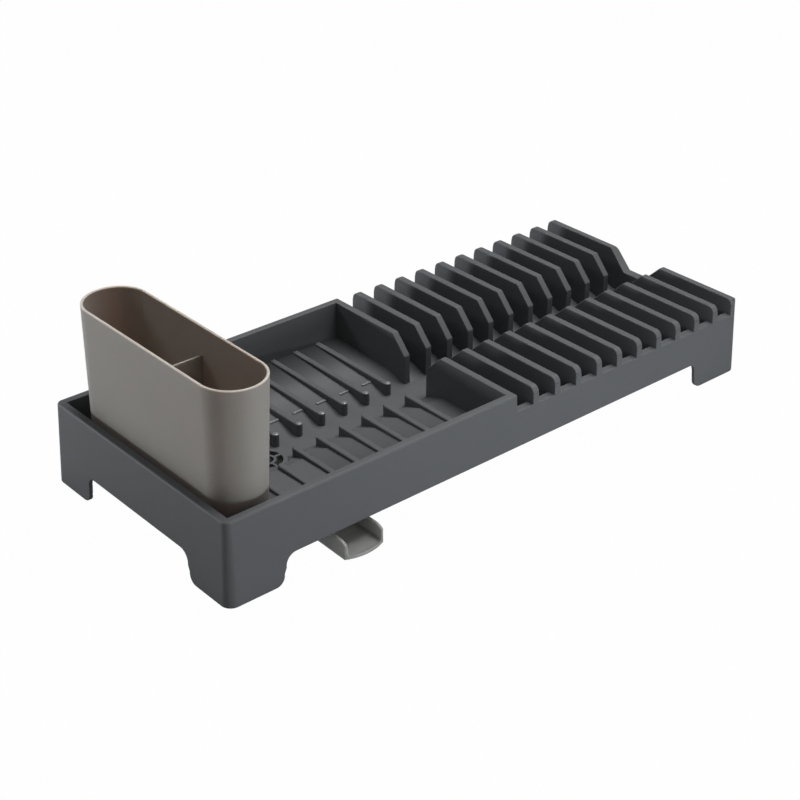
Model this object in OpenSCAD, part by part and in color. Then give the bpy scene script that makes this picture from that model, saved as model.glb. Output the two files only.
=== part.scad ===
// Dish drainer: a one-piece ribbed tray on four corner feet, a cutlery cup that
// lifts out, and a swivelling drain spout held by a clip-in grate.
// The origin is on the table, in the middle of the whole footprint.

/* [Tray] */
// Length of the tray at its rim
rim_length = 470; // [440:1:520]
// Width of the tray at its rim
rim_width = 193; // [184:1:220]
// Height of the rim above the table
tray_height = 60.6; // [58:0.2:70]
// How far each outer face leans out towards the table
wall_draft = 2.9; // [0:0.1:4]
// Radius of the upright corners at the rim
corner_radius = 4.6; // [4:0.2:12]
// Width of the rim, outer face to inner face
rim_thickness = 5.8; // [5.4:0.1:7]
// Thickness of the skirt that hangs down to the feet
skirt_thickness = 2.6; // [2:0.1:3.2]
// Thickness of the wall between the tub and the hollow behind it
tub_skin = 1.9; // [1.6:0.1:2.2]
// Thickness of the rims over the hollow walls
rim_skin = 2.4; // [2:0.1:3]
// Thickness of the floor
floor_thickness = 2.4; // [2:0.1:3]

/* [Feet] */
// Height of the arches between the feet
arch_height = 20.4; // [16:0.2:20.6]
// Length of a foot along the long side, at the top of the arch
foot_length = 43.4; // [36:0.5:50]
// Length of a foot along the short side, at the top of the arch
foot_width = 40.8; // [34:0.5:46]
// Length of a foot at the plate rack's end
right_foot_length = 45.4; // [36:0.2:52]
// Lean of the sides of a foot, narrower at the table
foot_lean = 5; // [2:0.5:8]
// Radius at the top of an arch
arch_radius = 8; // [4:0.5:10]
// Radius at the bottom of a foot
foot_radius = 7; // [3:0.5:8]

/* [Plate rack] */
// Number of plate slots
slot_count = 11; // [8:1:12]
// Distance from one rib to the next
rib_pitch = 20.7; // [19:0.1:22]
// Thickness of a rack rib
rib_thickness = 5.4; // [5:0.1:6.5]
// Thickness of the skin round a rack rib's hollow core
rib_skin = 1.7; // [1.5:0.1:1.9]
// Thickness of the right end wall at its top
end_thickness = 7; // [6.4:0.1:8]
// Radius along the outer top edge of the right end wall
end_round = 3.8; // [2:0.2:4]
// Height of the wall between the ribs
sill_height = 47.9; // [44:0.2:52]
// Radius at the outer top corner of a rib
rib_corner_radius = 5; // [2:0.5:7]
// Distance from the middle line to the upright end of a rear rib
rear_rib_end = 13.1; // [11:0.1:18]
// Distance from the middle line to the upright end of a front rib
front_rib_end = 10.3; // [9:0.1:18]
// Length of the slanted end of a rear rib, seen from above
rear_slant = 13.4; // [8:0.1:18]
// Length of the slanted end of a front rib, seen from above
front_slant = 14.5; // [8:0.1:18]
// Height at which the slanted ends begin
slant_foot_height = 46.3; // [40:0.1:52]
// Height of the right end wall where it dips in the middle
dip_height = 44.2; // [38:0.1:50]

/* [Drying floor] */
// Height of the channel in the middle of the floor
channel_height = 24; // [23.4:0.1:25.4]
// Half the width of the channel
channel_half_width = 10.5; // [9:0.1:16]
// Distance from the middle line to the crest beside the channel
crest_distance = 28; // [24:0.5:34]
// Height of that crest
crest_height = 29; // [27:0.1:30]
// Height of the floor where it meets the long walls
floor_edge_height = 31.8; // [30.4:0.1:32.4]
// Height of the tops of the low ribs
low_rib_height = 33.1; // [32.6:0.1:37]
// Thickness of a low rib
low_rib_thickness = 4.8; // [3.5:0.1:6]
// Distance from the middle line to the first rear low rib's end
rear_low_end = 7.8; // [6:0.1:14]
// Distance from the middle line to the first front low rib's end
front_low_end = 9.7; // [8:0.1:16]
// How far each next pair of low ribs shifts to the front
low_rib_shift = 1; // [0:0.1:1.4]

/* [Drain] */
// Distance from the left end of the rim to the drain
drain_inset = 97.2; // [92:0.5:110]
// Distance of the drain in front of the middle line
drain_offset = 6.6; // [0:0.1:8]
// Diameter of the drain bore in the tray
drain_bore = 25.6; // [23:0.2:27]
// Distance from the drain at which a low rib that meets it begins
drain_clearing = 19.4; // [17:0.2:22]
// Running clearance of the spout collar in the bore, on the radius
collar_clearance = 0.05; // [0.02:0.01:0.1]
// Thickness of the spout collar
collar_wall = 1.2; // [1:0.1:1.6]
// Width of the flat seat around the grate
drain_margin = 0.8; // [0.5:0.1:1.4]
// Width of the grate's lip outside the drain bore
grate_lip = 1; // [0.8:0.1:1.8]
// Thickness of the grate
grate_thickness = 1.2; // [1:0.1:2]
// Thickness of the wall that clips into the collar
grate_wall = 0.8; // [0.7:0.1:1.2]
// Outer diameter of the ring inside the grate
grate_ring = 12.6; // [10:0.2:13]
// Width of the grate's ring and spokes
grate_bar = 2; // [1.4:0.1:2.4]

/* [Spout] */
// Width of the spout
spout_width = 31.6; // [28:0.2:34]
// Reach of the spout from the middle of the drain
spout_reach = 104.8; // [102:0.2:110]
// Height of the spout's lip end above the table
spout_low = 4.2; // [3:0.1:6]
// Height of the top edges of the spout
spout_top = 17.2; // [15.5:0.1:17.6]
// Thickness of the spout's walls and floor
spout_wall = 2; // [1.6:0.1:2.6]
// Fall of the spout's floor from the drain to the lip
spout_fall = 2.5; // [0:0.1:4]
// Radius at the front top corners of the spout's walls
spout_corner = 10; // [2:0.5:11]
// Depth of the curve of the spout's lip, seen from above
spout_bow = 3.6; // [1:0.1:5]

/* [Cutlery cup] */
// Length of the cup at its rim
cup_length = 170.8; // [150:0.2:174]
// Width of the cup at its rim
cup_width = 46; // [40:0.2:52]
// Height of the cup by itself
cup_height = 104.3; // [90:0.1:130]
// How much the cup draws in on each side towards its base
cup_draft = 2.2; // [1:0.1:4]
// How far the cup's base lies left of its rim
cup_lean = 2.2; // [0:0.1:3]
// Thickness of the cup's wall
cup_wall = 1.9; // [1.5:0.1:3]
// Thickness of the cup's base
cup_base = 2.2; // [1.8:0.1:4]
// Gap between the cup's rim and the tray's left wall, seen from above
cup_gap = 4.3; // [3:0.1:8]
// Thickness of the divider across the cup
divider_thickness = 1.6; // [1.2:0.1:2.5]
// Distance of the divider's top below the cup's rim
divider_drop = 20; // [5:0.5:40]
// Distance of the divider in front of the cup's middle
divider_offset = 1.5; // [0:0.5:20]
// Diameter of the drain holes in the cup's base
cup_hole = 5; // [4:0.5:7]

/* [Hidden] */
$fn = 64;
eps = 0.01;
past = 5;

half_length = rim_length / 2;
half_width = rim_width / 2;
inner_half_width = half_width - rim_thickness;
left_inner = -half_length + rim_thickness;

first_rib = half_length - end_thickness - slot_count * rib_pitch;
end_wall = half_length - end_thickness;
end_skin = end_thickness - rib_thickness + rib_skin;
low_rib_count = floor((first_rib - left_inner - low_rib_thickness / 2) / rib_pitch);

drain_x = -half_length + drain_inset;
drain_y = -drain_offset;
drain_radius = drain_bore / 2;
collar_radius = drain_radius - collar_clearance;
collar_inner = collar_radius - collar_wall;
seat_gap = 0.3;
floor_under = channel_height - floor_thickness;
lip_radius = drain_radius + grate_lip;
seat_radius = lip_radius + drain_margin;

lip_y = drain_y - spout_reach;
back_y = half_width + wall_draft;
footprint_shift = -(lip_y + back_y) / 2;

cup_x = left_inner + cup_gap + cup_width / 2;
cup_straight = cup_length / 2 - cup_width / 2;
cup_foot = low_rib_height;

// A block with rounded upright corners whose sides lean, from corner centres.
module leaning_block(half_x, half_y, radius_low, radius_high, low, high) {
    rise = high - low;
    translate([0, 0, low]) {
        rotate([90, 0, 0])
            linear_extrude(height = 2 * half_y, center = true)
                polygon([[-half_x - radius_low, 0], [half_x + radius_low, 0],
                         [half_x + radius_high, rise], [-half_x - radius_high, rise]]);
        rotate([90, 0, 90])
            linear_extrude(height = 2 * half_x, center = true)
                polygon([[-half_y - radius_low, 0], [half_y + radius_low, 0],
                         [half_y + radius_high, rise], [-half_y - radius_high, rise]]);
        for (x = [-half_x, half_x], y = [-half_y, half_y])
            translate([x, y, 0])
                cylinder(r1 = radius_low, r2 = radius_high, h = rise);
    }
}

// A profile drawn in Y and Z, run along X from one place to another.
module along_x(from, to) {
    translate([from, 0, 0])
        rotate([90, 0, 90])
            linear_extrude(height = to - from)
                children();
}

// The upper surface of the floor, as points in Y and Z lowered by a depth.
function floor_line(depth, half) = [
    [half, edge_at(half) - depth],
    [crest_distance, crest_height - depth],
    [channel_half_width, channel_height - depth],
    [-channel_half_width, channel_height - depth],
    [-crest_distance, crest_height - depth],
    [-half, edge_at(half) - depth]
];
function edge_at(half) = crest_height
    + (floor_edge_height - crest_height) * (half - crest_distance)
    / (inner_half_width - crest_distance);

// Points of an arc around a centre, from one angle to another.
function arc(centre, radius, from, to, steps = 8) = [
    for (i = [0:steps]) let (a = from + (to - from) * i / steps)
        [centre[0] + radius * cos(a), centre[1] + radius * sin(a)]
];

// Half of an arch's outline: it widens down to the table past a rounded foot.
function arch_half(half) = let (
    lean = tan(foot_lean),
    top = [half - arch_radius * (1 - sin(foot_lean)) / cos(foot_lean), arch_height - arch_radius],
    foot_turn = foot_radius * (1 + sin(foot_lean)) / cos(foot_lean),
    foot = [half + arch_height * lean + foot_turn, foot_radius]
) concat(
    arc(top, arch_radius, 90, -foot_lean),
    arc(foot, foot_radius, 180 - foot_lean, 270),
    [[foot[0], -past]]
);

// The opening below one side of the tray, between two feet.
module arch(half) {
    right = arch_half(half);
    left = [for (i = [len(right) - 1:-1:0]) [-right[i][0], right[i][1]]];
    polygon(concat(right, left));
}

module outer_body() {
    leaning_block(half_length - corner_radius, half_width - corner_radius,
                  corner_radius + wall_draft, corner_radius, 0, tray_height);
}

// The room under the floor, inside the skirt.
module under_room() {
    intersection() {
        leaning_block(half_length - corner_radius, half_width - corner_radius,
                      corner_radius + wall_draft - skirt_thickness,
                      corner_radius - skirt_thickness, 0, tray_height);
        along_x(-half_length, half_length)
            polygon(concat(floor_line(floor_thickness, half_width),
                           [[-half_width, -eps], [half_width, -eps]]));
    }
}

// The hollow between the skirt and the tub, open below.
module wall_room() {
    difference() {
        intersection() {
            leaning_block(half_length - corner_radius, half_width - corner_radius,
                          corner_radius + wall_draft - skirt_thickness,
                          corner_radius - skirt_thickness, 0, tray_height);
            union() {
                along_x(-half_length, first_rib)
                    hollow_height(tray_height - rim_skin);
                along_x(first_rib - eps, half_length)
                    hollow_height(min(sill_height, dip_height) - rim_skin);
            }
        }
        translate([left_inner - tub_skin, -inner_half_width - tub_skin, 0])
            cube([end_wall - left_inner + tub_skin + end_skin,
                  2 * (inner_half_width + tub_skin), tray_height]);
    }
}

module hollow_height(top) {
    polygon([[-half_width, -eps], [half_width, -eps], [half_width, top], [-half_width, top]]);
}

// The hollow core of the rack rib that begins at a place along the tray.
module rib_core(from) {
    reach = half_width - skirt_thickness - rim_skin / 2;
    for (side = [[rear_rib_end, rear_slant, 1], [front_rib_end, front_slant, -1]]) {
        foot = [side[0] + rib_skin, slant_foot_height - rib_skin / 2];
        top = [side[0] + side[1] + rib_skin / 2, tray_height - rim_skin];
        along_x(from + rib_skin, from + rib_thickness - rib_skin)
            polygon([for (p = [[foot[0], floor_under - past], foot, top,
                               [reach, top[1]], [reach, floor_under - past]])
                     [side[2] * p[0], p[1]]]);
    }
}

// What rounds the outer top edge of the right end wall.
module end_rounding() {
    x = half_length + wall_draft * end_round / tray_height - end_round;
    translate([x, 0, tray_height - end_round])
        rotate([90, 0, 0])
            linear_extrude(height = 2 * rim_width, center = true)
                difference() {
                    square(end_round + past);
                    circle(r = end_round);
                }
}

// The open tub on the left, above the drying floor.
module tub_room() {
    along_x(left_inner, first_rib)
        polygon(concat(floor_line(0, inner_half_width),
                       [[-inner_half_width, tray_height + past],
                        [inner_half_width, tray_height + past]]));
}

// One plate slot: it runs to the long walls and opens over their sills.
module slot_room() {
    polygon(concat(floor_line(0, inner_half_width),
                   [[-inner_half_width, sill_height],
                    [-half_width - past, sill_height],
                    [-half_width - past, tray_height + past],
                    [half_width + past, tray_height + past],
                    [half_width + past, sill_height],
                    [inner_half_width, sill_height]]));
}

// The room between the rear and the front ribs, down to the given height.
module middle_room(low) {
    polygon([[-front_rib_end, low], [rear_rib_end, low],
             [rear_rib_end, slant_foot_height],
             [rear_rib_end + rear_slant, tray_height],
             [rear_rib_end + rear_slant, tray_height + past],
             [-front_rib_end - front_slant, tray_height + past],
             [-front_rib_end - front_slant, tray_height],
             [-front_rib_end, slant_foot_height]]);
}

// What rounds the outer top corner of each rack rib.
module corner_cut() {
    centre = [half_width - rib_corner_radius, tray_height - rib_corner_radius];
    for (side = [0, 1])
        mirror([side, 0])
            polygon(concat(arc(centre, rib_corner_radius, 0, 90),
                           [[centre[0], tray_height + past],
                            [half_width + past, tray_height + past],
                            [half_width + past, centre[1]]]));
}

// The low ribs of the drying floor, in pairs that stay clear of the drain.
module low_ribs() {
    for (i = [1:low_rib_count]) {
        x = first_rib - i * rib_pitch;
        off = drain_keep_off(x);
        rear = rear_low_end - low_rib_shift * (i - 1);
        front = -front_low_end - low_rib_shift * (i - 1);
        translate([x, 0, 0]) {
            low_rib(max(rear, drain_y + off), inner_half_width + eps);
            low_rib(min(front, drain_y - off), -inner_half_width - eps);
        }
    }
}

// How far from the drain's middle the low rib at a place begins: a rib that
// would cross the bore starts at the clearing, one beside it at the seat.
function drain_keep_off(x) = let (
    aside = max(0, abs(x + low_rib_thickness / 2 - drain_x) - low_rib_thickness / 2),
    clear = seat_radius + seat_gap
) aside < drain_radius - low_rib_thickness / 2
    ? drain_clearing
    : sqrt(max(0, clear * clear - aside * aside));

// The thick round patch of floor that carries the drain's seat.
module drain_patch() {
    translate([drain_x, drain_y, floor_under])
        cylinder(r = seat_radius + floor_thickness, h = floor_thickness);
}

// The seat and the bore, cut out of the floor.
module drain_cuts() {
    translate([drain_x, drain_y, 0])
        cylinder(r = drain_radius, h = tray_height);
    translate([drain_x, drain_y, channel_height])
        cylinder(r = seat_radius, h = tray_height);
}

// One low rib from its round end to the long wall.
module low_rib(end, wall) {
    side = sign(wall);
    nose = low_rib_thickness / 2;
    round_end = end + side * nose;
    intersection() {
        union() {
            translate([nose, round_end, 0])
                cylinder(r = nose, h = low_rib_height);
            translate([0, min(round_end, wall), 0])
                cube([low_rib_thickness, abs(wall - round_end), low_rib_height]);
        }
        along_x(-rib_pitch, rib_pitch)
            polygon(concat(floor_line(floor_thickness / 2, half_width),
                           [[-half_width, tray_height], [half_width, tray_height]]));
    }
}

module tray() {
    color([0.33, 0.34, 0.35])
        translate([0, footprint_shift, 0])
            difference() {
                union() {
                    difference() {
                        outer_body();
                        under_room();
                        wall_room();
                        tub_room();
                        for (i = [0:slot_count - 1])
                            rib_core(first_rib + i * rib_pitch);
                        rib_core(end_wall);
                        end_rounding();
                        for (i = [0:slot_count - 1])
                            along_x(first_rib + rib_thickness + i * rib_pitch,
                                    first_rib + (i + 1) * rib_pitch)
                                slot_room();
                        along_x(first_rib - eps, end_wall + eps)
                            middle_room(channel_height);
                        along_x(end_wall - past, half_length + past)
                            middle_room(dip_height);
                        along_x(first_rib + rib_thickness + past, half_length + past)
                            corner_cut();
                    }
                    low_ribs();
                    drain_patch();
                }
                drain_cuts();
                rotate([90, 0, 0])
                    linear_extrude(height = rim_width * 2, center = true)
                        translate([(foot_length - right_foot_length) / 2, 0])
                            arch(half_length - (foot_length + right_foot_length) / 2);
                rotate([90, 0, 90])
                    linear_extrude(height = rim_length * 2, center = true)
                        arch(half_width - foot_width);
            }
}

// An upright block with round ends that draws in towards its base.
module cup_block(radius_low, radius_high, low, high) {
    rise = high - low;
    translate([0, 0, low]) {
        rotate([90, 0, 0])
            linear_extrude(height = 2 * cup_straight, center = true)
                polygon([[-radius_low, 0], [radius_low, 0],
                         [radius_high, rise], [-radius_high, rise]]);
        for (y = [-cup_straight, cup_straight])
            translate([0, y, 0])
                cylinder(r1 = radius_low, r2 = radius_high, h = rise);
    }
}

// The cup's outline set in by a depth, cut off level at two heights.
module cup_form(depth, low, high) {
    slope = cup_draft / cup_height;
    radius_high = cup_width / 2 + slope * past - depth;
    radius_low = cup_width / 2 - cup_draft - slope * past - depth;
    intersection() {
        translate([0, 0, cup_height])
            rotate([0, atan(cup_lean / cup_height), 0])
                translate([0, 0, -cup_height])
                    cup_block(radius_low, radius_high, -past, cup_height + past);
        translate([-cup_length, -cup_length, low])
            cube([2 * cup_length, 2 * cup_length, high - low]);
    }
}

// Half a width of the divider at a height, on the left (-1) or right (1).
function divider_reach(side, height) =
    side * (cup_width / 2 - (cup_draft / cup_height) * (cup_height - height) - cup_wall / 2)
    - cup_lean * (1 - height / cup_height);

module cutlery_cup() {
    radius_low = cup_width / 2 - cup_draft;
    divider_top = cup_height - divider_drop;
    color([0.53, 0.5, 0.46])
        translate([cup_x, footprint_shift, cup_foot]) {
            difference() {
                cup_form(0, 0, cup_height);
                cup_form(cup_wall, cup_base, cup_height + past);
                for (x = [-1, 1], y = [-1.5:1:1.5])
                    translate([x * radius_low / 2 - cup_lean, y * cup_straight / 2, -past])
                        cylinder(d = cup_hole, h = cup_base + 2 * past, $fn = 32);
            }
            translate([0, -divider_offset, 0])
                rotate([90, 0, 0])
                    linear_extrude(height = divider_thickness, center = true)
                        polygon([[divider_reach(-1, cup_base / 2), cup_base / 2],
                                 [divider_reach(1, cup_base / 2), cup_base / 2],
                                 [divider_reach(1, divider_top), divider_top],
                                 [divider_reach(-1, divider_top), divider_top]]);
        }
}

// The spout's side outline in Y and Z, with the front at its left.
module spout_side(floor_rise) {
    lip = -spout_reach;
    corner = [lip + spout_corner, spout_top - spout_corner];
    polygon(concat([[0, spout_top]],
                   arc(corner, spout_corner, 90, 180),
                   [[lip, spout_low + floor_rise],
                    [0, spout_low + spout_fall + floor_rise]]));
}

// Room for the spout that ends in a curve at its lip, seen from above.
module bowed_lip(half) {
    radius = (half * half + spout_bow * spout_bow) / (2 * spout_bow);
    middle = radius - spout_reach;
    translate([0, middle, 0])
        cylinder(r = radius, h = spout_top + past);
    translate([-half - past, middle, 0])
        cube([2 * (half + past), past - middle, spout_top + past]);
}

// The spout: a round pan under the drain, an open channel and a collar that
// turns in the tray's bore.
module drain_spout() {
    pan_radius = spout_width / 2;
    pan_floor = spout_low + spout_fall;
    shoulder_top = floor_under - seat_gap;
    color([0.42, 0.42, 0.41])
        translate([drain_x, drain_y + footprint_shift, 0]) {
            difference() {
                union() {
                    intersection() {
                        along_x(-pan_radius, pan_radius)
                            spout_side(0);
                        bowed_lip(pan_radius);
                    }
                    translate([0, 0, pan_floor])
                        cylinder(r = pan_radius, h = spout_top - pan_floor);
                    translate([0, 0, spout_top - eps])
                        cylinder(r = pan_radius, h = shoulder_top - spout_top + eps);
                    cylinder_between(collar_radius, shoulder_top - eps, channel_height);
                }
                along_x(-pan_radius + spout_wall, pan_radius - spout_wall)
                    polygon([[0, pan_floor + spout_wall], [0, spout_top + past],
                             [-spout_reach - past, spout_top + past],
                             [-spout_reach - past, spout_low + spout_wall],
                             [-spout_reach, spout_low + spout_wall]]);
                cylinder_between(pan_radius - spout_wall, pan_floor + spout_wall,
                                 shoulder_top - spout_wall);
                cylinder_between(collar_inner, pan_floor + spout_wall, channel_height + past);
            }
        }
}

// A cylinder on the drain's axis between two heights.
module cylinder_between(radius, low, high) {
    translate([0, 0, low])
        cylinder(r = radius, h = high - low);
}

// The grate: a lip that lies over the floor, a wall that clips into the
// collar, and a ring on four spokes.
module drain_grate() {
    plug_inner = collar_inner - grate_wall;
    top = channel_height + grate_thickness;
    color([0.36, 0.37, 0.38])
        translate([drain_x, drain_y + footprint_shift, 0]) {
            difference() {
                union() {
                    cylinder_between(lip_radius, channel_height, top);
                    cylinder_between(collar_inner, floor_under, channel_height + eps);
                }
                cylinder_between(plug_inner, 0, top + past);
            }
            difference() {
                union() {
                    cylinder_between(grate_ring / 2, channel_height - grate_thickness, top);
                    intersection() {
                        cylinder_between(plug_inner + eps, channel_height, top);
                        for (angle = [0, 90])
                            rotate(angle)
                                translate([-lip_radius, -grate_bar / 2, 0])
                                    cube([2 * lip_radius, grate_bar, tray_height]);
                    }
                }
                cylinder_between(grate_ring / 2 - grate_bar, 0, top + past);
            }
        }
}

tray();
cutlery_cup();
drain_spout();
drain_grate();
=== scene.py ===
import math
import bmesh
import bpy
from mathutils import Matrix, Vector


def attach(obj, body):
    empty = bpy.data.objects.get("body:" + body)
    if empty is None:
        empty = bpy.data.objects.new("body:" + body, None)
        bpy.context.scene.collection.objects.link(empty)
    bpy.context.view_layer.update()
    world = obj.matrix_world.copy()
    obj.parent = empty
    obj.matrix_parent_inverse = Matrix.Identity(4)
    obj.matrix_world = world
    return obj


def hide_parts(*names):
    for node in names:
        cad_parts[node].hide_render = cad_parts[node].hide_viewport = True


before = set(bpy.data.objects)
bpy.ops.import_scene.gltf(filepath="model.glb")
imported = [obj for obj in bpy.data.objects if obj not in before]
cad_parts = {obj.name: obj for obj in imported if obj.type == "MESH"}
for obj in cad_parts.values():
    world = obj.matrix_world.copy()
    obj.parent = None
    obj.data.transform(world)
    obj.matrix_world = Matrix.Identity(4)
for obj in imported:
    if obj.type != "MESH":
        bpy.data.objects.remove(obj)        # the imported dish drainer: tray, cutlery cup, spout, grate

scene = bpy.context.scene
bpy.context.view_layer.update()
mm = 0.001     # sizes and places are in millimetres unless a note says otherwise


# small helpers

def deselectAll():
    if bpy.context.object and bpy.context.object.mode != "OBJECT":
        bpy.ops.object.mode_set(mode="OBJECT")
    bpy.ops.object.select_all(action="DESELECT")


def pick(obj):
    deselectAll()
    obj.select_set(True)
    bpy.context.view_layer.objects.active = obj


def applyAll(obj):
    pick(obj)
    for mod in list(obj.modifiers):
        bpy.ops.object.modifier_apply(modifier=mod.name)


def applyPlace():
    # the object that was just added keeps its place and gets its origin at the frame's
    bpy.ops.object.transform_apply(location=True, rotation=True, scale=True)
    return bpy.context.object


def joinTo(target, extras):
    deselectAll()
    for extra in extras:
        extra.select_set(True)
    target.select_set(True)
    bpy.context.view_layer.objects.active = target
    bpy.ops.object.join()


def metres(*ways):
    return tuple(way * mm for way in ways)


cadClean = {"weld": 0.01, "flatAngle": 0.6}     # the angle is in degrees


def mergedCopy(node, name):
    # an editable copy of a CAD node, its split corners welded and its flat faces whole
    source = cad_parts[node]
    copy = source.copy()
    copy.data = source.data.copy()
    copy.name = name
    copy.data.name = name
    copy.parent = None
    scene.collection.objects.link(copy)
    copy.matrix_world = source.matrix_world
    copy.hide_render = False
    copy.hide_set(False)
    copy.modifiers.clear()
    copy.data.materials.clear()
    pick(copy)
    bpy.ops.object.mode_set(mode="EDIT")
    bpy.ops.mesh.select_all(action="SELECT")
    bpy.ops.mesh.remove_doubles(threshold=cadClean["weld"] * mm)
    bpy.ops.mesh.dissolve_limited(angle_limit=math.radians(cadClean["flatAngle"]))
    bpy.ops.object.mode_set(mode="OBJECT")
    return copy


def editSelect(obj, kind, wanted):
    # opens edit mode with only the vertices, edges or faces that pass the test selected
    pick(obj)
    bpy.ops.object.mode_set(mode="EDIT")
    bpy.ops.mesh.select_mode(type=kind)
    bpy.ops.mesh.select_all(action="DESELECT")
    mesh = bmesh.from_edit_mesh(obj.data)
    for item in {"VERT": mesh.verts, "EDGE": mesh.edges, "FACE": mesh.faces}[kind]:
        if wanted(item):
            item.select_set(True)
    mesh.select_flush_mode()
    bmesh.update_edit_mesh(obj.data)


def leaveEdit():
    bpy.ops.object.mode_set(mode="OBJECT")


def moveVerts(obj, shift, wanted):
    editSelect(obj, "VERT", wanted)
    bpy.ops.transform.translate(value=metres(*shift))
    leaveEdit()


def scaleVerts(obj, factors, centre, wanted):
    editSelect(obj, "VERT", wanted)
    bpy.ops.transform.resize(value=factors, center_override=metres(*centre))
    leaveEdit()


def bevelEdges(obj, width, segments, wanted):
    editSelect(obj, "EDGE", wanted)
    bpy.ops.mesh.bevel(offset=width * mm, segments=segments, profile=0.5, clamp_overlap=False)
    leaveEdit()


def weighEdges(obj, weight, wanted):
    editSelect(obj, "EDGE", wanted)
    bpy.ops.transform.edge_bevelweight(value=weight)
    leaveEdit()


def roundWeighed(obj, width, segments):
    mod = obj.modifiers.new("soft edges", "BEVEL")
    mod.width = width * mm
    mod.segments = segments
    mod.limit_method = "WEIGHT"
    mod.use_clamp_overlap = False
    mod.miter_outer = "MITER_SHARP"
    applyAll(obj)


def smoothFaces(obj, angle=33):
    pick(obj)
    bpy.ops.object.shade_smooth_by_angle(angle=math.radians(angle))
    mod = obj.modifiers.new("flat faces stay flat", "WEIGHTED_NORMAL")
    mod.keep_sharp = True
    mod.weight = 90
    applyAll(obj)


def isSharp(edge, angle=28):
    # a convex edge between two faces that meet at more than the angle, in degrees
    return len(edge.link_faces) == 2 and edge.calc_face_angle_signed(0) > math.radians(angle)


def isTop(face):
    # a level face that looks up
    return face.normal.z > 0.9


def near(value, goal, gap):
    return abs(value - goal) < gap


def at(vert):
    return vert.co / mm


def middle(edge):
    return (edge.verts[0].co + edge.verts[1].co) / 2 / mm


def span(edge):
    return edge.verts[1].co / mm - edge.verts[0].co / mm


# finishes

skinDetail = {"cloudScale": 14, "cloudDetail": 3, "cloudFrom": 0.35, "cloudTo": 0.7,
              "grainDetail": 2, "grainDepth": 0.08, "roughSpread": 0.12}


def mouldedSkinGroup():
    # fine moulded grain over wide soft clouds of a second tone
    detail = skinDetail
    group = bpy.data.node_groups.new("moulded skin", "ShaderNodeTree")
    face = group.interface
    for label, kind, value in (("Colour", "NodeSocketColor", (0.1, 0.1, 0.1, 1)),
                               ("Cloud Colour", "NodeSocketColor", (0.12, 0.12, 0.12, 1)),
                               ("Cloud Amount", "NodeSocketFloat", 0.4),
                               ("Roughness", "NodeSocketFloat", 0.5),
                               ("Grain Size", "NodeSocketFloat", 900.0),
                               ("Grain Height", "NodeSocketFloat", 0.2)):
        socket = face.new_socket(label, in_out="INPUT", socket_type=kind)
        socket.default_value = value
    face.new_socket("Colour", in_out="OUTPUT", socket_type="NodeSocketColor")
    face.new_socket("Roughness", in_out="OUTPUT", socket_type="NodeSocketFloat")
    face.new_socket("Normal", in_out="OUTPUT", socket_type="NodeSocketVector")
    nodes, links = group.nodes, group.links
    inlet = nodes.new("NodeGroupInput")
    outlet = nodes.new("NodeGroupOutput")
    place = nodes.new("ShaderNodeTexCoord")

    cloud = nodes.new("ShaderNodeTexNoise")
    cloud.inputs["Scale"].default_value = detail["cloudScale"]
    cloud.inputs["Detail"].default_value = detail["cloudDetail"]
    links.new(place.outputs["Object"], cloud.inputs["Vector"])
    cloudMask = nodes.new("ShaderNodeMapRange")
    cloudMask.inputs["From Min"].default_value = detail["cloudFrom"]
    cloudMask.inputs["From Max"].default_value = detail["cloudTo"]
    links.new(cloud.outputs["Fac"], cloudMask.inputs["Value"])
    cloudFactor = nodes.new("ShaderNodeMath")
    cloudFactor.operation = "MULTIPLY"
    links.new(cloudMask.outputs["Result"], cloudFactor.inputs[0])
    links.new(inlet.outputs["Cloud Amount"], cloudFactor.inputs[1])
    mix = nodes.new("ShaderNodeMix")
    mix.data_type = "RGBA"
    links.new(cloudFactor.outputs[0], mix.inputs["Factor"])
    links.new(inlet.outputs["Colour"], mix.inputs["A"])
    links.new(inlet.outputs["Cloud Colour"], mix.inputs["B"])
    links.new(mix.outputs["Result"], outlet.inputs["Colour"])

    grain = nodes.new("ShaderNodeTexNoise")
    grain.inputs["Detail"].default_value = detail["grainDetail"]
    links.new(place.outputs["Object"], grain.inputs["Vector"])
    links.new(inlet.outputs["Grain Size"], grain.inputs["Scale"])
    bump = nodes.new("ShaderNodeBump")
    bump.inputs["Distance"].default_value = detail["grainDepth"] * mm
    links.new(grain.outputs["Fac"], bump.inputs["Height"])
    links.new(inlet.outputs["Grain Height"], bump.inputs["Strength"])
    links.new(bump.outputs["Normal"], outlet.inputs["Normal"])
    rough = nodes.new("ShaderNodeMath")
    rough.operation = "MULTIPLY_ADD"
    rough.inputs[1].default_value = detail["roughSpread"]
    links.new(grain.outputs["Fac"], rough.inputs[0])
    links.new(inlet.outputs["Roughness"], rough.inputs[2])
    links.new(rough.outputs[0], outlet.inputs["Roughness"])
    return group


skinGroup = mouldedSkinGroup()


def paintLipLight(nodes, links, colour, look):
    # painted light: above the band the lip is coloured lighter, standing in for light that passes through the
    # thin plastic
    place = nodes.new("ShaderNodeTexCoord")
    split = nodes.new("ShaderNodeSeparateXYZ")
    links.new(place.outputs["Object"], split.inputs["Vector"])
    band = nodes.new("ShaderNodeMapRange")
    band.inputs["From Min"].default_value = look["lipFrom"]
    band.inputs["From Max"].default_value = look["lipTo"]
    links.new(split.outputs["Z"], band.inputs["Value"])
    lip = nodes.new("ShaderNodeMix")
    lip.data_type = "RGBA"
    lip.inputs["B"].default_value = (*look["lipPaintedLight"], 1)
    links.new(band.outputs["Result"], lip.inputs["Factor"])
    links.new(colour, lip.inputs["A"])
    return lip.outputs["Result"]


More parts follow.
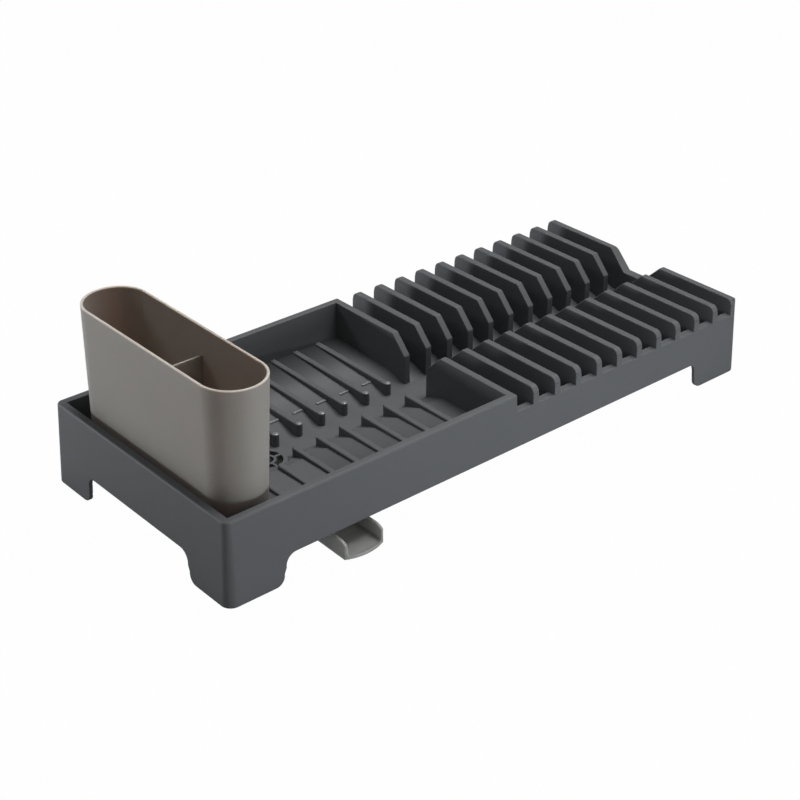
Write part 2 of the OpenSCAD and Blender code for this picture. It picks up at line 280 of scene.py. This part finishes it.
def plastic(name, look):
    # heights and depths in a look are in metres
    mat = bpy.data.materials.new(name)
    mat.use_nodes = True
    nodes, links = mat.node_tree.nodes, mat.node_tree.links
    shader = nodes["Principled BSDF"]
    skin = nodes.new("ShaderNodeGroup")
    skin.node_tree = skinGroup
    skin.inputs["Colour"].default_value = (*look["colour"], 1)
    skin.inputs["Cloud Colour"].default_value = (*look["cloud"], 1)
    skin.inputs["Cloud Amount"].default_value = look["cloudAmount"]
    skin.inputs["Roughness"].default_value = look["roughness"]
    skin.inputs["Grain Size"].default_value = look["grainSize"]
    skin.inputs["Grain Height"].default_value = look["grainHeight"]
    shader.inputs["Specular IOR Level"].default_value = look["gloss"]
    if "through" in look:     # thin wall, some light passes
        shader.inputs["Subsurface Weight"].default_value = look["through"]
        shader.inputs["Subsurface Radius"].default_value = look["throughRadius"]
        shader.inputs["Subsurface Scale"].default_value = look["throughDepth"]
    colour = skin.outputs["Colour"]
    # painted light: a lighter colour at the lip stands in for light passing through the thin plastic
    if "lipPaintedLight" in look:     # thin plastic lets light through at the lip
        colour = paintLipLight(nodes, links, colour, look)
    links.new(colour, shader.inputs["Base Color"])
    links.new(skin.outputs["Roughness"], shader.inputs["Roughness"])
    links.new(skin.outputs["Normal"], shader.inputs["Normal"])
    return mat


trayPlastic = plastic("tray plastic", {
    "colour": (0.098, 0.102, 0.108), "cloud": (0.108, 0.111, 0.116), "cloudAmount": 0.5,
    "roughness": 0.52, "grainSize": 1400, "grainHeight": 0.35, "gloss": 0.33})
cupPlastic = plastic("cup plastic", {
    "colour": (0.293, 0.28, 0.258), "cloud": (0.312, 0.298, 0.275), "cloudAmount": 0.5,
    "roughness": 0.45, "grainSize": 1400, "grainHeight": 0.3, "gloss": 0.4,
    # the lip's lighter colour is painted light, not a second tone of plastic
    "lipPaintedLight": (0.52, 0.48, 0.43), "lipFrom": 0.1364, "lipTo": 0.1371,
    "through": 0.6, "throughRadius": (1.0, 0.72, 0.52), "throughDepth": 0.006})
spoutPlastic = plastic("spout plastic", {
    "colour": (0.225, 0.225, 0.22), "cloud": (0.24, 0.24, 0.234), "cloudAmount": 0.5,
    "roughness": 0.42, "grainSize": 1400, "grainHeight": 0.3, "gloss": 0.4,
    "through": 0.8, "throughRadius": (1.0, 1.0, 0.95), "throughDepth": 0.01})
# painted highlight: about twice as light as the tray's colour, so the bars and knobs read as catching the
# light
glossyHighlightPaintedPlastic = plastic("glossy tray plastic with painted highlight", {
    "colour": (0.19, 0.195, 0.2), "cloud": (0.21, 0.215, 0.22), "cloudAmount": 0.5,
    "roughness": 0.22, "grainSize": 1400, "grainHeight": 0.1, "gloss": 0.7})
print("drainer: finishes made")


# pieces

def dress(piece, material, body, slotName, *nodes):
    piece.data.materials.clear()
    piece.data.materials.append(material)
    for polygon in piece.data.polygons:
        polygon.material_index = 0
    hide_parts(*nodes)
    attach(piece, body)
    print("drainer:", piece.name, len(piece.data.polygons), "faces")


# the glossy bars and knobs on the tray's floor, coloured lighter than the tray as a painted highlight

markSizes = {
    "bars": {"at": (-25, -45.7, -66.4, -87.1, -107.8), "depth": 31.6, "above": 60,
             "long": 8.4, "wide": 2.0, "proud": 0.95, "round": 0.45, "roundSteps": 3},
    "knobs": {"count": 8, "first": -18.0, "pitch": 20.7, "depth": 16.2, "drift": 1.0, "level": 32.98,
              "radii": (2.35, 2.35, 0.95), "segments": 24, "rings": 12}}


def makeBars(tray):
    # short bars on the rear floor, left of each low rib
    size = markSizes["bars"]
    bars = []
    for x in size["at"]:
        start = Vector(metres(x, size["depth"], size["above"]))
        floorLevel = tray.ray_cast(start, Vector((0, 0, -1)))[1].z / mm
        bpy.ops.mesh.primitive_cube_add(size=1, location=metres(x, size["depth"], floorLevel),
                                        scale=metres(size["long"], size["wide"], 2 * size["proud"]))
        bar = applyPlace()
        top = floorLevel + size["proud"]
        bevelEdges(bar, size["round"], size["roundSteps"], lambda e: middle(e).z > top - 0.05)
        bars.append(bar)
    return bars


def makeKnobs():
    # the rear low ribs outside the cup end in a small knob
    size = markSizes["knobs"]
    knobs = []
    for i in range(size["count"]):
        place = metres(size["first"] - i * size["pitch"], size["depth"] - i * size["drift"], size["level"])
        bpy.ops.mesh.primitive_uv_sphere_add(segments=size["segments"], ring_count=size["rings"],
                                             radius=mm, scale=size["radii"], location=place)
        knobs.append(applyPlace())
    return knobs


def makeCrestMarks(tray):
    bars = makeBars(tray)
    marks = bars[0]
    joinTo(marks, bars[1:] + makeKnobs())
    marks.name = "tray_crest_marks"
    smoothFaces(marks)
    dress(marks, glossyHighlightPaintedPlastic, "tray", "tray_plastic", "tray")


# the tray; each height band of a far foot is (from, to, how far its inner edge moves)

traySizes = {
    "halfLength": 235, "halfWidth": 96.5, "depthShift": 6.0, "outerBand": 5,
    "wallLean": 0.3, "overhang": 0.2,     # how far a face's normal may rise or sink
    "rimTop": 60.6, "rackStart": 0.3, "rimPastRack": 6, "lowRibTop": 33.1, "rackAboveLowRibs": 2,
    "lowRibFoot": 26, "tubHalfWidth": 90.5, "archTop": 24,
    "rounds": {"rim": 1.6, "rib": 0.7, "foot": 0.6, "lowRib": 1.1}, "roundSteps": 4,
    "rightFoot": {"from": 181, "to": 200, "outside": 95, "bands": (
        (-1, 6.5, -2.2), (6.5, 8, -2.3), (11, 14, -0.8), (14, 15.5, -0.6), (15.5, 17, -0.2),
        (17, 18.5, 0.3), (18.5, 19.3, 0.9), (19.3, 20, 1.6), (20, 20.6, 2.4))},
    "rearFoot": {"from": 53.5, "to": 72, "outside": 233, "bands": (
        (-1, 6.5, -0.8), (6.5, 8, -0.6), (11, 14, 1.0), (14, 15.5, 1.5), (15.5, 17, 1.9),
        (17, 18.5, 2.3), (18.5, 19.3, 2.6), (19.3, 20, 3.0), (20, 20.6, 3.7))},
    "channelStep": {"depth": 19.1, "level": 24.74, "drop": 0.74, "weld": 0.04},
    "frontCrest": {"depth": -22.0, "level": 29.0, "run": 17.5, "foot": 24.0, "outside": 0.6, "up": 1.2},
    "endDip": {"wall": 227.9, "slantFoot": 46.3, "top": 44.2, "weld": 0.2,
               "feet": ((19.1, -1.97), (-4.3, 2.13))}}     # each slant's foot: depth, shift


def standFeetUp(tray):
    # the arches' right and rear ends stand nearly upright, the near ones lean
    right = traySizes["rightFoot"]
    for low, high, shift in right["bands"]:
        moveVerts(tray, (shift, 0, 0),
                  lambda v: low < at(v).z < high and right["from"] < at(v).x < right["to"]
                  and abs(at(v).y - traySizes["depthShift"]) > right["outside"])
    rear = traySizes["rearFoot"]
    for low, high, shift in rear["bands"]:
        moveVerts(tray, (0, shift, 0),
                  lambda v: low < at(v).z < high and rear["from"] < at(v).y < rear["to"]
                  and abs(at(v).x) > rear["outside"])


def levelChannelEdge(tray):
    # the slots' floors run into the channel without a step
    step = traySizes["channelStep"]
    moveVerts(tray, (0, 0, -step["drop"]),
              lambda v: near(at(v).z, step["level"], gap=0.02) and near(at(v).y, step["depth"], gap=0.06))
    editSelect(tray, "VERT", lambda v: True)
    bpy.ops.mesh.remove_doubles(threshold=step["weld"] * mm)
    leaveEdit()


def raiseFrontCrest(tray):
    # in the tub the floor climbs more steeply from the channel to its front crest
    crest = traySizes["frontCrest"]
    climb = crest["level"] - crest["foot"]

    def onSlope(vert):
        inward = at(vert).y - crest["depth"]
        slopeLevel = crest["level"] - max(inward, 0) * climb / crest["run"]
        return (at(vert).x < traySizes["rackStart"] + 0.2 and -crest["outside"] < inward < crest["run"] + 0.05
                and near(at(vert).z, slopeLevel, gap=0.06))

    scaleVerts(tray, (1, 1, 1 + crest["up"] / climb), (0, 0, crest["foot"]), onSlope)


def lowerEndSlants(tray):
    # the slanted ends of the right end wall run straight down to its dip
    dip = traySizes["endDip"]

    def onSlant(vert, depth, level):
        spot = at(vert)
        return spot.x > dip["wall"] and near(spot.y, depth, gap=0.05) and near(spot.z, level, gap=0.05)

    for depth, shift in dip["feet"]:
        for level in (dip["slantFoot"], dip["top"]):
            moveVerts(tray, (0, shift, dip["top"] - level), lambda v: onSlant(v, depth, level))
        editSelect(tray, "VERT", lambda v: onSlant(v, depth + shift, dip["top"]))
        bpy.ops.mesh.remove_doubles(threshold=dip["weld"] * mm)
        leaveEdit()


def facesOut(edge):
    # one of its faces belongs to the tray's outer wall or that wall's corners
    size = traySizes
    for face in edge.link_faces:
        spot = face.calc_center_median() / mm
        across = spot.y - size["depthShift"]
        pastEnd = abs(spot.x) > size["halfLength"] - size["outerBand"] and face.normal.x * spot.x > 0
        pastSide = abs(across) > size["halfWidth"] - size["outerBand"] and face.normal.y * across > 0
        if abs(face.normal.z) < size["wallLean"] and (pastEnd or pastSide):
            return True
    return False


def upFacing(edge):
    return all(face.normal.z > -traySizes["overhang"] for face in edge.link_faces)


def onRim(edge):
    inTub = middle(edge).x < traySizes["rackStart"] + traySizes["rimPastRack"]
    runsAcross = abs(span(edge).x) < 2
    return (isSharp(edge) and near(middle(edge).z, traySizes["rimTop"], gap=0.2) and facesOut(edge)
            and (inTub or runsAcross))


def onRack(edge):
    high = middle(edge).z > traySizes["lowRibTop"] + traySizes["rackAboveLowRibs"]
    return isSharp(edge) and upFacing(edge) and high and not onRim(edge)


def onFoot(edge):
    return isSharp(edge) and facesOut(edge) and middle(edge).z < traySizes["archTop"]


def onLowRib(edge):
    size = traySizes
    spot = middle(edge)
    return (isSharp(edge) and upFacing(edge) and size["lowRibFoot"] < spot.z < size["lowRibTop"] + 0.2
            and spot.x < size["rackStart"] - 1 and abs(spot.y - size["depthShift"]) < size["tubHalfWidth"])


def makeTray():
    rounds = traySizes["rounds"]
    tray = mergedCopy("tray", "tray_moulding")
    standFeetUp(tray)
    levelChannelEdge(tray)
    raiseFrontCrest(tray)
    lowerEndSlants(tray)
    for test, kind in ((onRim, "rim"), (onRack, "rib"), (onFoot, "foot"), (onLowRib, "lowRib")):
        weighEdges(tray, rounds[kind] / rounds["rim"], test)
    roundWeighed(tray, rounds["rim"], traySizes["roundSteps"])
    makeCrestMarks(tray)
    smoothFaces(tray)
    dress(tray, trayPlastic, "tray", "tray_plastic", "tray")


# the cup; levels count from its foot, and the holes lie at shares of the base's radius and straight part

cupSizes = {
    "middle": (-201.9, 6.0), "foot": 33.1, "height": 104.3, "width": 46, "length": 170.8,
    "draft": 2.2, "lean": 2.2, "wall": 1.9, "base": 2.2, "facets": 96,
    "lipRound": 0.75, "footRound": 1.6, "roundSteps": 3, "smoothAngle": 35,
    "holes": {"width": 5, "rows": (-0.5, 0.5), "places": (-0.75, -0.25, 0.25, 0.75), "facets": 32,
              "cutterHeight": 8, "cutterLevel": 1},
    "divider": {"drop": 20, "offset": 1.5, "thickness": 1.6, "round": 0.45, "roundSteps": 2}}


def cupRadius(level):
    # the round ends narrow towards the foot
    return cupSizes["width"] / 2 - cupSizes["draft"] * (1 - level / cupSizes["height"])


def cupShift(level):
    # the cup leans to the right as it rises
    return -cupSizes["lean"] * (1 - level / cupSizes["height"])


def cupStraight():
    # from the cup's middle to the centre of a round end
    return (cupSizes["length"] - cupSizes["width"]) / 2


def makeShell():
    size = cupSizes
    midX, midY = size["middle"]
    foot, height, floorLevel = size["foot"], size["height"], size["base"]
    deselectAll()
    bpy.ops.mesh.primitive_cone_add(vertices=size["facets"], radius1=cupRadius(0) * mm,
                                    radius2=cupRadius(height) * mm, depth=height * mm,
                                    location=metres(midX, midY, foot + height / 2),
                                    rotation=(0, 0, math.pi / size["facets"]))
    cup = applyPlace()
    cup.name = "cutlery_cup_shell"
    for side in (-1, 1):     # the round cup is drawn out to a long one
        moveVerts(cup, (0, side * cupStraight(), 0), lambda v: (at(v).y - midY) * side > 0)
    moveVerts(cup, (cupShift(0), 0, 0), lambda v: at(v).z < foot + 1)
    editSelect(cup, "FACE", isTop)     # the room inside
    bpy.ops.mesh.inset(thickness=size["wall"] * mm, depth=0)
    down = metres(cupShift(floorLevel), 0, floorLevel - height)
    bpy.ops.mesh.extrude_region_move(TRANSFORM_OT_translate={"value": down})
    leaveEdit()
    shrink = (cupRadius(floorLevel) - size["wall"]) / (cupRadius(height) - size["wall"])
    for side in (-1, 1):
        centre = (midX + cupShift(floorLevel), midY + side * cupStraight(), foot + floorLevel)
        scaleVerts(cup, (shrink, shrink, 1), centre,
                   lambda v: near(at(v).z, foot + floorLevel, gap=0.2) and (at(v).y - midY) * side > 0)
    bevelEdges(cup, size["lipRound"], size["roundSteps"],
               lambda e: isSharp(e, angle=40) and middle(e).z > foot + height - 0.2)
    bevelEdges(cup, size["footRound"], size["roundSteps"],
               lambda e: isSharp(e, angle=40) and middle(e).z < foot + 0.2)
    return cup


def drillBase(cup):
    # two rows of drain holes
    size = cupSizes["holes"]
    midX, midY = cupSizes["middle"]
    deselectAll()
    cutters = []
    for row in size["rows"]:
        for place in size["places"]:
            spot = metres(midX + cupShift(0) + row * cupRadius(0), midY + place * cupStraight(),
                          cupSizes["foot"] + size["cutterLevel"])
            bpy.ops.mesh.primitive_cylinder_add(vertices=size["facets"], radius=size["width"] / 2 * mm,
                                                depth=size["cutterHeight"] * mm, location=spot)
            cutters.append(bpy.context.object)
    drill = cutters[0]
    joinTo(drill, cutters[1:])
    mod = cup.modifiers.new("drain holes", "BOOLEAN")
    mod.object = drill
    mod.operation = "DIFFERENCE"
    mod.solver = "EXACT"
    applyAll(cup)
    bpy.data.objects.remove(drill)


def makeDivider():
    size = cupSizes["divider"]
    midX, midY = cupSizes["middle"]
    foot = cupSizes["foot"]
    top = cupSizes["height"] - size["drop"]
    bottom = cupSizes["base"] / 2
    deselectAll()
    centre = metres(midX, midY - size["offset"], foot + (top + bottom) / 2)
    bpy.ops.mesh.primitive_cube_add(size=1, location=centre,
                                    scale=metres(cupSizes["width"], size["thickness"], top - bottom))
    divider = applyPlace()
    for level in (top, bottom):     # its ends lie in the middle of the cup's walls
        width = 2 * cupRadius(level) - cupSizes["wall"]
        scaleVerts(divider, (width / cupSizes["width"], 1, 1), (midX, midY, foot + level),
                   lambda v: near(at(v).z, foot + level, gap=1))
        moveVerts(divider, (cupShift(level), 0, 0), lambda v: near(at(v).z, foot + level, gap=1))
    bevelEdges(divider, size["round"], size["roundSteps"],
               lambda e: middle(e).z > foot + top - 1 and abs(span(e).y) < 0.1)
    return divider


def makeCup():
    cup = makeShell()
    drillBase(cup)
    joinTo(cup, [makeDivider()])
    smoothFaces(cup, cupSizes["smoothAngle"])
    dress(cup, cupPlastic, "cup", "cup_plastic", "cutlery_cup")


# the spout and the grate lie round the drain's middle

drainMiddle = (-137.8, -0.6)
spoutSizes = {"halfWidth": 15.8, "underTop": 8, "underFrom": 20, "underLength": 20,
              "lipTop": 17.4, "lipFrom": 16, "insideLength": 90,
              "insideAngle": 1.3,     # in radians
              "lipRound": 0.4, "insideRound": 2.4, "roundSteps": 3}


def makeSpout():
    size = spoutSizes
    midX, midY = drainMiddle
    spout = mergedCopy("drain_spout", "drain_spout_channel")

    def underEdge(edge):
        # the long edges beneath the channel stay as they are
        spot = middle(edge)
        atSide = near(abs(spot.x - midX), size["halfWidth"], gap=0.3)
        return (isSharp(edge) and spot.z < size["underTop"] and span(edge).length > size["underLength"]
                and spot.y < midY - size["underFrom"] and atSide)

    def lipEdge(edge):
        spot = middle(edge)
        return (isSharp(edge) and spot.z < size["lipTop"] and spot.y < midY - size["lipFrom"]
                and not underEdge(edge))

    def insideCorner(edge):
        return (len(edge.link_faces) == 2 and edge.calc_face_angle_signed(0) < -size["insideAngle"]
                and span(edge).length > size["insideLength"])

    weighEdges(spout, size["lipRound"] / size["insideRound"], lipEdge)
    weighEdges(spout, 1.0, insideCorner)
    roundWeighed(spout, size["insideRound"], size["roundSteps"])
    smoothFaces(spout)
    dress(spout, spoutPlastic, "spout", "spout_plastic", "drain_spout")


grateSizes = {"spokesFrom": 25.0, "round": 0.3, "roundSteps": 2,
              "pinRadius": 2.1, "pinSink": 0.6, "pinSegments": 24, "pinRings": 12}


def makeGrate():
    size = grateSizes
    grate = mergedCopy("drain_grate", "drain_grate_disc")
    weighEdges(grate, 1.0, lambda e: isSharp(e, angle=50) and middle(e).z > size["spokesFrom"])
    roundWeighed(grate, size["round"], size["roundSteps"])
    top = max(at(v).z for v in grate.data.vertices)
    deselectAll()
    bpy.ops.mesh.primitive_uv_sphere_add(segments=size["pinSegments"], ring_count=size["pinRings"],
                                         radius=size["pinRadius"] * mm,
                                         location=metres(*drainMiddle, top - size["pinSink"]))
    joinTo(grate, [applyPlace()])
    smoothFaces(grate)
    dress(grate, trayPlastic, "spout", "tray_plastic", "drain_grate")


makeTray()
makeCup()
makeSpout()
makeGrate()


# floor, light and camera, in metres, watts and degrees

studioLook = {"floorWidth": 6, "floorDrop": 0.0002, "floorGrey": 0.42, "floorRoughness": 0.7,
              "floorSeenWhite": 0.985, "floorLift": 0.22, "skyLight": 0.122}


def makeFloor():
    # the camera sees the floor white, and it lights the drainer a little from below
    look = studioLook
    deselectAll()
    bpy.ops.mesh.primitive_plane_add(size=look["floorWidth"], location=(0, 0, -look["floorDrop"]))
    floor = bpy.context.object
    floor.name = "studio_floor"
    mat = bpy.data.materials.new("floor white")
    mat.use_nodes = True
    nodes, links = mat.node_tree.nodes, mat.node_tree.links
    shader = nodes["Principled BSDF"]
    shader.inputs["Base Color"].default_value = (look["floorGrey"], look["floorGrey"], look["floorGrey"], 1)
    shader.inputs["Roughness"].default_value = look["floorRoughness"]
    glow = nodes.new("ShaderNodeEmission")
    glow.inputs["Color"].default_value = (1, 1, 1, 1)
    glow.inputs["Strength"].default_value = 1.0
    path = nodes.new("ShaderNodeLightPath")
    seen = nodes.new("ShaderNodeMath")
    seen.operation = "MULTIPLY"
    seen.inputs[1].default_value = look["floorSeenWhite"]
    links.new(path.outputs["Is Camera Ray"], seen.inputs[0])
    share = nodes.new("ShaderNodeMath")
    share.operation = "MULTIPLY_ADD"
    share.inputs[1].default_value = look["floorLift"]
    links.new(path.outputs["Is Diffuse Ray"], share.inputs[0])
    links.new(seen.outputs[0], share.inputs[2])
    mix = nodes.new("ShaderNodeMixShader")
    links.new(share.outputs[0], mix.inputs["Fac"])
    links.new(shader.outputs["BSDF"], mix.inputs[1])
    links.new(glow.outputs["Emission"], mix.inputs[2])
    links.new(mix.outputs["Shader"], nodes["Material Output"].inputs["Surface"])
    floor.data.materials.append(mat)


def makeSky():
    # dim light from all round, and plain white where the camera looks past the floor
    world = bpy.data.worlds.new("studio")
    scene.world = world
    world.use_nodes = True
    nodes, links = world.node_tree.nodes, world.node_tree.links
    back = nodes["Background"]
    back.inputs["Color"].default_value = (1, 1, 1, 1)
    back.inputs["Strength"].default_value = studioLook["skyLight"]
    white = nodes.new("ShaderNodeBackground")
    white.inputs["Color"].default_value = (1, 1, 1, 1)
    white.inputs["Strength"].default_value = 1
    path = nodes.new("ShaderNodeLightPath")
    seen = nodes.new("ShaderNodeMath")
    seen.operation = "MAXIMUM"
    links.new(path.outputs["Is Camera Ray"], seen.inputs[0])
    links.new(path.outputs["Is Transmission Ray"], seen.inputs[1])
    mix = nodes.new("ShaderNodeMixShader")
    links.new(seen.outputs[0], mix.inputs["Fac"])
    links.new(back.outputs["Background"], mix.inputs[1])
    links.new(white.outputs["Background"], mix.inputs[2])
    links.new(mix.outputs["Shader"], nodes["World Output"].inputs["Surface"])


neutral = (1, 1, 1)
cool = (0.91, 0.96, 1.0)
lamps = {     # the two low ones light the outer walls and leave the tub's inside dark
    "overhead": {"place": (0.35, 0.0, 1.45), "target": (0, 0, 0), "size": (0.9, 0.9),
                 "power": 20.3, "tint": neutral},
    "rear left": {"place": (-0.95, 1.2, 1.05), "target": (0, 0, 0), "size": (0.45, 0.45),
                  "power": 3.5, "tint": neutral},
    "front fill": {"place": (0.1, -1.3, 0.75), "target": (0, 0, 0), "size": (0.8, 0.8),
                   "power": 1.2, "tint": neutral},
    "low front": {"place": (0.12, -0.72, 0.08), "target": (0.06, 0, 0.03), "size": (0.4, 0.12),
                  "power": 2.1, "tint": cool},
    "low left": {"place": (-1.0, 1.3, 0.09), "target": (-0.1, 0, 0.04), "size": (0.5, 0.14),
                 "power": 11.0, "tint": cool}}


def makeLamps():
    for name, lamp in lamps.items():
        data = bpy.data.lights.new(name, "AREA")
        data.shape = "ELLIPSE"
        data.size, data.size_y = lamp["size"]
        data.energy = lamp["power"]
        data.color = lamp["tint"]
        obj = bpy.data.objects.new(name, data)
        obj.location = lamp["place"]
        aim = Vector(lamp["target"]) - Vector(lamp["place"])
        obj.rotation_euler = aim.to_track_quat("-Z", "Y").to_euler()
        obj.visible_camera = False
        scene.collection.objects.link(obj)


photoView = {"place": (-0.7079, -0.79223, 0.62617), "heading": -40.96, "tilt": 60.269, "roll": 0.336,
             "lens": 76.948, "sensor": 36, "farClip": 20}     # lens and sensor in millimetres


def photoCamera():
    view = photoView
    data = bpy.data.cameras.new("photo camera")
    data.sensor_width = view["sensor"]
    data.lens = view["lens"]
    data.clip_end = view["farClip"]
    obj = bpy.data.objects.new("photo camera", data)
    turn = (Matrix.Rotation(math.radians(view["heading"]), 4, "Z")
            @ Matrix.Rotation(math.radians(view["tilt"]), 4, "X")
            @ Matrix.Rotation(math.radians(view["roll"]), 4, "Z"))
    obj.matrix_world = Matrix.Translation(view["place"]) @ turn
    scene.collection.objects.link(obj)
    scene.camera = obj


makeFloor()
makeSky()
makeLamps()
photoCamera()
scene.view_settings.view_transform = "Standard"
print("drainer: studio ready")
